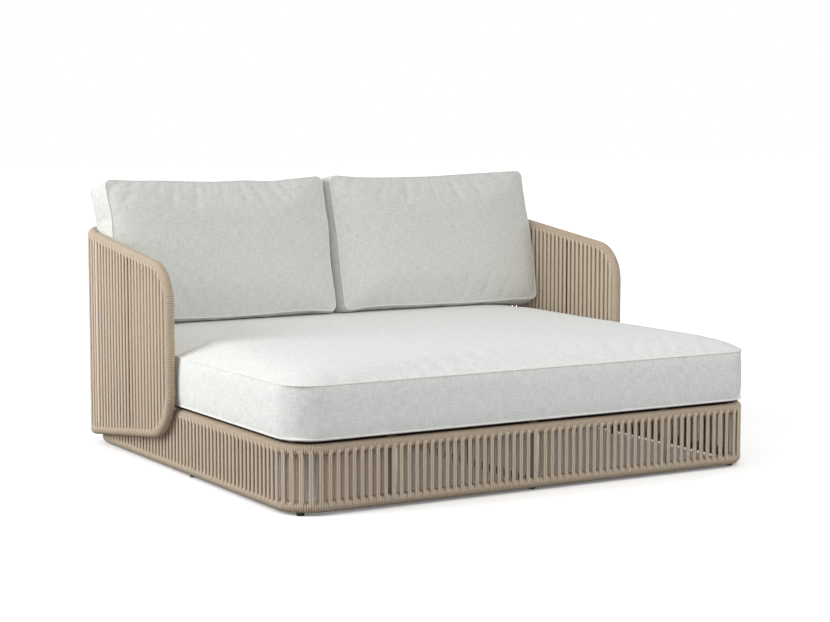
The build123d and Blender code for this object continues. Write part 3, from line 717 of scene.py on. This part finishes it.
def pad_surface(name, half_u, half_v, bend, low, seam, crowns, powers, bulge, tuck, cells, rows, sides=None):
    """A boxed pad: two crowned faces, rise = crown (1 - m^power) from edge m = 1 to middle m = 0, and a
    boxing strip between them that bulges by a sine to the power 0.6 and is tucked in beside both seams.
    bulge has one value for each way the strip faces: right, top, left, foot. Local axes: u, v across the
    face, w through it. Gives the piece, both seams' points and their outward directions."""
    gu, gv = np.meshgrid(spaced(half_u, cells[0]), spaced(half_v, cells[1]), indexing="ij")
    x, y, m = square_to_outline(gu, gv, half_u, half_v, bend)
    if sides:
        x, y = pulled_sides(x, y, half_u, half_v, sides)
    face = np.arange(x.size).reshape(x.shape)
    top = np.stack([x, y, seam + crowns[0] * (1 - m ** powers[0])], -1).reshape(-1, 3)
    bottom = np.stack([x, y, low - crowns[1] * (1 - m ** powers[1])], -1).reshape(-1, 3)
    rim = np.concatenate([face[-1, :-1], face[::-1, -1][:-1], face[0, ::-1][:-1], face[:-1, 0]])
    around = len(rim)

    # The boxing strip: rows between the seams, each the rim moved outward by the strip's swing.
    level = np.concatenate([[FIRST_LEVEL], np.arange(1, rows - 2) / (rows - 2), [LAST_LEVEL]])
    edge = top[rim]
    along = np.roll(edge[:, :2], -1, 0) - np.roll(edge[:, :2], 1, 0)
    outward = np.column_stack([along[:, 1], -along[:, 0]])
    outward /= np.linalg.norm(outward, axis=1, keepdims=True)
    facing = np.maximum(outward @ np.array([[1, 0, -1, 0], [0, 1, 0, -1]]), 0) ** 2
    swing = (facing @ np.array(bulge))[None] * (np.sin(math.pi * level) ** BULGE_POWER)[:, None]
    swing[[0, -1]] -= tuck
    box = np.empty((rows - 1, around, 3))
    box[..., :2] = edge[None, :, :2] + outward[None] * swing[..., None]
    box[..., 2] = (seam + (low - seam) * level)[:, None]
    points = np.concatenate([top, box.reshape(-1, 3), bottom])

    lower = len(top) + (rows - 1) * around
    rim_low = rim + lower
    strip = len(top) + np.arange((rows - 1) * around).reshape(rows - 1, around)
    ladder = np.concatenate([rim[None], strip, rim_low[None]])
    a, b = ladder[:-1], ladder[1:]
    side_quads = np.stack([a, b, np.roll(b, -1, 1), np.roll(a, -1, 1)], -1).reshape(-1, 4)
    top_quads = np.stack([face[:-1, :-1], face[1:, :-1], face[1:, 1:], face[:-1, 1:]], -1).reshape(-1, 4)
    bottom_quads = top_quads[:, ::-1] + lower
    quads = np.concatenate([top_quads, side_quads, bottom_quads])

    run = np.cumsum(np.linalg.norm(np.diff(edge[:, :2], axis=0, append=edge[:1, :2]), axis=1))
    run = np.concatenate([[0], run])
    here, there = run[:-1], run[1:]
    w = points[ladder[:, 0], 2]
    high, deep = w[:-1, None], w[1:, None]
    uv_side = corner_pairs((here, high), (here, deep), (there, deep), (there, high))
    uv_top, uv_bottom = (points[part][..., :2].reshape(-1, 2) for part in (top_quads, bottom_quads))
    piece = new_piece(name, points, quads, np.concatenate([uv_top, uv_side, uv_bottom]))
    crease_seams(piece, (rim, rim_low))
    return piece, rim, rim_low, np.column_stack([outward, 0 * outward[:, :1]])


def crease_seams(piece, seams):
    """Marks both seams' edges as creases, so that the subdivision keeps them crisp."""
    mesh = piece.data
    ends = np.empty(len(mesh.edges) * 2, np.int32)
    mesh.edges.foreach_get("vertices", ends)
    ends = ends.reshape(-1, 2)
    crease = np.zeros(len(ends))
    for seam in seams:
        crease[np.isin(ends, seam).all(axis=1)] = 1
    mesh.attributes.new("crease_edge", "FLOAT", "EDGE").data.foreach_set("value", crease)


def mesh_points(piece):
    """A piece's points, (n, 3)."""
    points = np.empty(len(piece.data.vertices) * 3, np.float32)
    piece.data.vertices.foreach_get("co", points)
    return points.reshape(-1, 3).astype(float)


def set_points(piece, points):
    """Moves a piece's points to the given places."""
    piece.data.vertices.foreach_set("co", points.astype(np.float32).ravel())
    piece.data.update()


def dress(piece, body, nodes, surface):
    """Gives a piece its material, its body, the solids it stands for and its finish."""
    piece.data.materials.clear()
    piece.data.materials.append(surface)
    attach(piece, body)
    if nodes:
        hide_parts(*nodes)


def seam_piping(name, piece, seam, radius, outward, body):
    """A round cord along a seam, its middle moved outward from the seam's points."""
    line = mesh_points(piece)[seam] + outward
    keep = np.linalg.norm(np.roll(line, -1, 0) - line, axis=1) > SAME_PLACE
    line = line[keep]
    along = np.roll(line, -1, 0) - np.roll(line, 1, 0)
    along /= np.linalg.norm(along, axis=1, keepdims=True)
    middle = line.mean(0)
    across = np.cross(along, np.cross(line - middle, along))
    across /= np.linalg.norm(across, axis=1, keepdims=True)
    cord = closed_tube(name, line, across, np.cross(along, across), radius, PIPING_SIDES)
    dress(cord, body, [], piping)


def swell(piece, held, cap, pressure, shrink):
    """Cloth under inner pressure, its seams held; no point moves further than cap. The result is applied."""
    points = mesh_points(piece)
    group = piece.vertex_groups.new(name="held")
    group.add([int(i) for i in held], 1.0, "REPLACE")
    cloth = piece.modifiers.new("swell", "CLOTH")
    cloth.settings.use_pressure = True
    cloth.settings.uniform_pressure_force = pressure
    cloth.settings.effector_weights.gravity = 0
    cloth.settings.vertex_group_mass = "held"
    cloth.settings.shrink_min = shrink
    for setting, value in CLOTH.items():
        setattr(cloth.settings, setting, value)
    cloth.collision_settings.use_collision = False
    scene = bpy.context.scene
    cloth.point_cache.frame_start, cloth.point_cache.frame_end = 1, SWELL_FRAMES
    for step in range(1, SWELL_FRAMES + 1):
        scene.frame_set(step)
    shown = piece.evaluated_get(bpy.context.evaluated_depsgraph_get())
    after = np.empty(len(points) * 3, np.float32)
    shown.data.vertices.foreach_get("co", after)
    moved = after.reshape(-1, 3) - points
    size = np.linalg.norm(moved, axis=1, keepdims=True)
    points = points + moved * np.minimum(1, cap / np.maximum(size, TINY))
    piece.modifiers.remove(cloth)
    piece.vertex_groups.remove(group)
    scene.frame_set(1)
    set_points(piece, points)


def finish_pad(piece, body, nodes, cloth_material):
    """One smooth subdivision, applied, then the piece's place in the object."""
    rounder = piece.modifiers.new("rounder", "SUBSURF")
    rounder.levels = rounder.render_levels = 1
    shown = piece.evaluated_get(bpy.context.evaluated_depsgraph_get())
    mesh = bpy.data.meshes.new_from_object(shown)
    piece.modifiers.remove(rounder)
    piece.data = mesh
    mesh.polygons.foreach_set("use_smooth", np.ones(len(mesh.polygons), bool))
    dress(piece, body, nodes, cloth_material)


# The object's finishes, each from its dark to its light tone.
rope = rope_material("rope", srgb(205, 187, 165), srgb(235, 219, 199))
# Wound rope on the rails, with painted shade in the grooves between its turns.
wound_rope = rope_material("wound_rope", srgb(186, 168, 146), srgb(228, 212, 192), painted_groove_shade=1.1)
linen = linen_material("linen", srgb(208, 210, 206), srgb(248, 249, 247))
# The cushions' linen is a darker copy of the mattress's: painted shade for the shade that lies on the
# cushions.
shaded_cushion_linen = linen_material("shaded_cushion_linen", srgb(197, 199, 194), srgb(234, 235, 231))
piping = linen_material("piping_cloth", srgb(222, 222, 217), srgb(245, 245, 241))
paint = plain_material("frame_paint", srgb(150, 136, 118), srgb(168, 152, 133), **PAINTED)
pale_paint = plain_material("pale_paint", srgb(198, 186, 166), srgb(214, 202, 182), **PAINTED)
# A dark paint that stands in for shade: painted shade on the shell's posts, seen in a slot between strands,
# and on the tube under the deck's edge.
shade_paint = plain_material("dark_shade_paint", srgb(62, 50, 38), srgb(74, 60, 46), **PAINTED)
wood = plain_material("slat_wood", srgb(150, 132, 112), srgb(172, 154, 132), rough=0.7,
                      scale=(4, 60, 60), bump=0.0006)
plastic = plain_material("glide_plastic", srgb(40, 36, 24), srgb(52, 48, 34), rough=0.6, scale=(40, 40, 40))
steel = plain_material("bolt_steel", srgb(150, 150, 150), srgb(175, 175, 175), rough=0.35, scale=(60, 60, 60))
steel.node_tree.nodes["Principled BSDF"].inputs["Metallic"].default_value = 1.0

# Rails: wound rope on three loops, and the dark tube along the deck's edge, a piece of painted shade that
# keeps the gap under the mattress black.
base_at = np.concatenate([panel[0] for panel in base_panels.values()])
for height, label in ((LOW_RAIL, "low"), (TOP_RAIL, "top")):
    loop = base_loop(height)
    places = np.column_stack([base_at, np.full(len(base_at), height)])
    wrap = rope_wrap("platform_" + label + "_rail_rope", loop, marks_on(loop, places))
    dress(wrap, "frame", ["base_" + label + "_rail_rope_wrap"], wound_rope)
shell_line = shell_loop()
shell_at = np.concatenate([panel[0] for panel in shell_panels.values()])
ends = [np.column_stack([shell_at, rail_height(shell_at, upper)]) for upper in (True, False)]
wrap = rope_wrap("shell_rail_rope", shell_line, marks_on(shell_line, np.concatenate(ends)))
dress(wrap, "frame", ["shell_rope_wrap"], wound_rope)

# The dark tube stands in for the shade in the gap between the mattress and the top rail: painted shade.
shade_tube_line = base_loop(SHADE_TUBE_Z)
point, _, out, up = shade_tube_line.at(np.arange(0, shade_tube_line.length, SHADE_TUBE_STEP))
edge = closed_tube("painted_shade_tube", point - out * SHADE_TUBE_INSET, out, up, SHADE_TUBE_RADIUS, SHADE_TUBE_SIDES, SHADE_TUBE_SQUASH)
dress(edge, "frame", [], shade_paint)

# Strands: one piece for each side and each corner.
for label, panel in base_panels.items():
    piece = strands(label + "_ropes", panel, LOW_RAIL, TOP_RAIL, LEANS.get(label, 1))
    if label.count("_") == 2:
        nodes = [label + "_corner_strands"]
    else:
        nodes = [label + "_outer_strands", label + "_inner_strands"]
    dress(piece, "frame", nodes, rope)
for label, panel in shell_panels.items():
    low, high = rail_height(panel[0], False), rail_height(panel[0], True)
    piece = strands(label + "_ropes", panel, low, high, LEANS.get(label, 1))
    if "corner" in label:
        nodes = ["shell_" + label.split("_")[2] + "_corner_strands"]
    else:
        stem = "back" if label == "shell_back" else label
        nodes = [stem + "_outer_strands", stem + "_inner_strands"]
    dress(piece, "frame", nodes, rope)


def columns(name, places, radius, node, surface):
    """Round uprights from (x, y, low, high) places."""
    lines = np.array([[[x, y, a], [x, y, (a + b) / 2], [x, y, b]] for x, y, a, b in places])
    dress(many_tubes(name, lines, radius, ROUND_SIDES), "frame", [node], surface)


# Posts of the platform and the shell, the bolts between them, glides, and the solids that stay as they are.
posts = []
for x in (-POST_X, 0, POST_X):
    posts.append((x + FRONT_POST_SHIFT, BASE_Y - BASE_Y_HALF, LOW_RAIL, TOP_RAIL))
    posts.append((x, BASE_Y + BASE_Y_HALF, LOW_RAIL, TOP_RAIL))
for side in (-1, 1):
    for way in (-1, 1):
        posts.append((side * BASE_X_HALF, BASE_Y + way * (POST_Y[side] - BASE_Y), LOW_RAIL, TOP_RAIL))
columns("platform_posts", posts, POST_RADIUS, "base_posts", pale_paint)
# The shell's posts take the dark paint: painted shade for the slot they show through.
tall = [(x, SHELL_Y) for x in (-POST_X, 0, POST_X)] + [(side * SHELL_X, POST_Y[side]) for side in (-1, 1)]
tall = np.array(tall)
tall = np.column_stack([tall, rail_height(tall, False), rail_height(tall, True)])
columns("shell_posts_round", tall, POST_RADIUS, "shell_posts", shade_paint)

reach = SHELL_X - BASE_X_HALF - 2 * POST_RADIUS
bolts = [((side * (BASE_X_HALF + POST_RADIUS), POST_Y[side], ARM_BOLT_Z), (side, 0, 0)) for side in (-1, 1)]
bolts += [((x, BASE_Y + BASE_Y_HALF + POST_RADIUS, BACK_BOLT_Z), (0, 1, 0)) for x in (-POST_X, 0, POST_X)]
lines = np.array([[np.add(start, np.multiply(way, reach * k)) for k in (0, 0.5, 1)] for start, way in bolts])
piece = many_tubes("round_bolts", lines, BOLT_RADIUS, BOLT_SIDES)
dress(piece, "frame", ["joining_bolts"], steel)
columns("round_glides", GLIDES, GLIDE_RADIUS, "floor_glides", plastic)

for node in ("deck_beams", "low_beam", "centre_legs", "deck_slats", "base_low_rail_tube",
             "base_top_rail_tube", "shell_tube"):
    surface, slot = (wood, "slat_wood") if node == "deck_slats" else (paint, "frame_paint")
    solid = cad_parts[node]
    solid.data.materials.clear()
    solid.data.materials.append(surface)


# Seat mattress.
def mattress_height(x, y):
    """Height of the mattress's top over plan points: crown (1 - m^11) above the seam."""
    m = np.maximum(np.abs(x) / MATTRESS_PAD["half_u"], np.abs(y - BASE_Y) / MATTRESS_PAD["half_v"])
    return MATTRESS["seam"] + MATTRESS["crown"] * (1 - np.minimum(m, 1) ** MATTRESS_PAD["powers"][0])


pad, top_seam, low_seam, outward = pad_surface("mattress", **MATTRESS_PAD)
set_points(pad, mesh_points(pad) + (0, BASE_Y, 0))
swell(pad, np.concatenate([top_seam, low_seam]), **MATTRESS_SWELL)
x, y, z = mesh_points(pad).T
z = np.maximum(z, MATTRESS["low"])
limit = np.where(y > PLAIN_FROM, mattress_height(x, y), np.inf)
z = np.where(z > MATTRESS["seam"], np.minimum(z, limit), z)
set_points(pad, np.column_stack([x, y, z]))
seam_piping("mattress_top_piping", pad, top_seam, PIPING_RADIUS, (0, 0, TOP_PIPING_LIFT), "mattress")
seam_piping("mattress_low_piping", pad, low_seam, LOW_PIPING_RADIUS, outward * -LOW_PIPING_TUCK, "mattress")
finish_pad(pad, "mattress", ["mattress_cover", "mattress_foam"], linen)


# Back cushions.
def clear_of_neighbours(side, x, y, z):
    """Keeps a cushion in front of the shell's rail, between the arms, above the mattress and off the other
    cushion."""
    rail_half = np.sqrt(np.maximum(RAIL ** 2 - np.maximum(z - TOP_BACK, 0) ** 2, 0))
    y = np.where(z < TOP_BACK + RAIL, np.minimum(y, SHELL_Y - rail_half - TOUCH), y)
    x = side * np.clip(side * x, CUSHION_NEAR, CUSHION_FAR)
    return x, y, np.maximum(z, mattress_height(x, y) + TOUCH)


for side, label in ((-1, "left"), (1, "right")):
    name = "back_cushion_" + label
    body = label + "_back_cushion"
    middle, arm = CUSHION["middle_bulge"], CUSHION["arm_bulge"]
    right, left = (middle, arm) if side < 0 else (arm, middle)
    bulge = (right, CUSHION["top_bulge"], left, CUSHION["foot_bulge"])
    pad, front_seam, back_seam, _ = pad_surface(name, bulge=bulge, sides=CUSHION_SIDES[label], **CUSHION_PAD)
    u, v, w = mesh_points(pad).T
    v = v + CUSHION["height"] / 2
    x = side * (CUSHION["gap"] + CUSHION["width"] / 2) + u
    y = CUSHION["face_y"] + v * math.sin(LEAN) - w * math.cos(LEAN)
    z = CUSHION["foot"] + v * math.cos(LEAN) + w * math.sin(LEAN)
    set_points(pad, np.column_stack(clear_of_neighbours(side, x, y, z)))
    swell(pad, np.concatenate([front_seam, back_seam]), **CUSHION_SWELL)
    set_points(pad, np.column_stack(clear_of_neighbours(side, *mesh_points(pad).T)))
    for seam, place in ((front_seam, "front"), (back_seam, "back")):
        seam_piping(name + "_" + place + "_piping", pad, seam, PIPING_RADIUS, (0, 0, 0), body)
    finish_pad(pad, body, [name + "_cover", name + "_foam"], shaded_cushion_linen)

# Floor: grey for the light that bounces off it, white and glowing for the camera.
corners = [(FLOOR_HALF * x, FLOOR_HALF * y, 0) for x, y in ((-1, -1), (1, -1), (1, 1), (-1, 1))]
floor = new_piece("floor", corners, [(0, 1, 2, 3)], smooth=False)
surface, tree, shader = material("floor", (FLOOR_SHADE,) * 3, rough=0.9)
seen = add_node(tree, "ShaderNodeBsdfDiffuse", [("Color", (FLOOR_SEEN,) * 3 + (1,))])
place = add_node(tree, "ShaderNodeTexCoord").outputs["Object"]
away = add_node(tree, "ShaderNodeVectorMath", [(0, place)], operation="LENGTH").outputs["Value"]
span = [(0, away), (1, GLOW_NEAR[0]), (2, GLOW_FAR[0]), (3, GLOW_NEAR[1]), (4, GLOW_FAR[1])]
fade = add_node(tree, "ShaderNodeMapRange", span).outputs[0]
glow = add_node(tree, "ShaderNodeEmission", [("Color", GLOW_COLOUR), ("Strength", fade)])
bright = add_node(tree, "ShaderNodeAddShader", [(0, seen.outputs[0]), (1, glow.outputs[0])])


def camera_sees(tree, hidden, shown, end):
    """The camera sees one shader, and every other ray meets the hidden one."""
    ray = add_node(tree, "ShaderNodeLightPath").outputs["Is Camera Ray"]
    mix = add_node(tree, "ShaderNodeMixShader", [(0, ray), (1, hidden.outputs[0]), (2, shown.outputs[0])])
    tree.links.new(mix.outputs[0], tree.nodes[end].inputs["Surface"])


camera_sees(tree, shader, bright, "Material Output")
floor.data.materials.append(surface)

# Sky: soft light, and plain white for the camera.
world = bpy.data.worlds.new("world")
bpy.context.scene.world = world
world.use_nodes = True
soft = world.node_tree.nodes["Background"]
soft.inputs["Color"].default_value = (1, 1, 1, 1)
soft.inputs["Strength"].default_value = SKY
white = add_node(world.node_tree, "ShaderNodeBackground", [("Color", (1, 1, 1, 1)), ("Strength", 1.0)])
camera_sees(world.node_tree, soft, white, "World Output")

for name, place, aim, power in LAMPS:
    lamp = bpy.data.objects.new(name, bpy.data.lights.new(name, "AREA"))
    lamp.data.shape, lamp.data.size = "SQUARE", LAMP_SIZE
    lamp.data.energy = power
    lamp.location = place
    lamp.rotation_euler = (Vector(aim) - lamp.location).to_track_quat("-Z", "Y").to_euler()
    bpy.context.scene.collection.objects.link(lamp)

camera = bpy.data.objects.new("camera", bpy.data.cameras.new("camera"))
camera.data.lens, camera.data.sensor_width = CAMERA["lens"], CAMERA["sensor"]
camera.location = CAMERA["place"]
camera.rotation_euler = (math.radians(CAMERA["tilt"]), 0, math.radians(CAMERA["turn"]))
bpy.context.scene.collection.objects.link(camera)
bpy.context.scene.camera = camera
bpy.context.scene.view_settings.view_transform = "Standard"
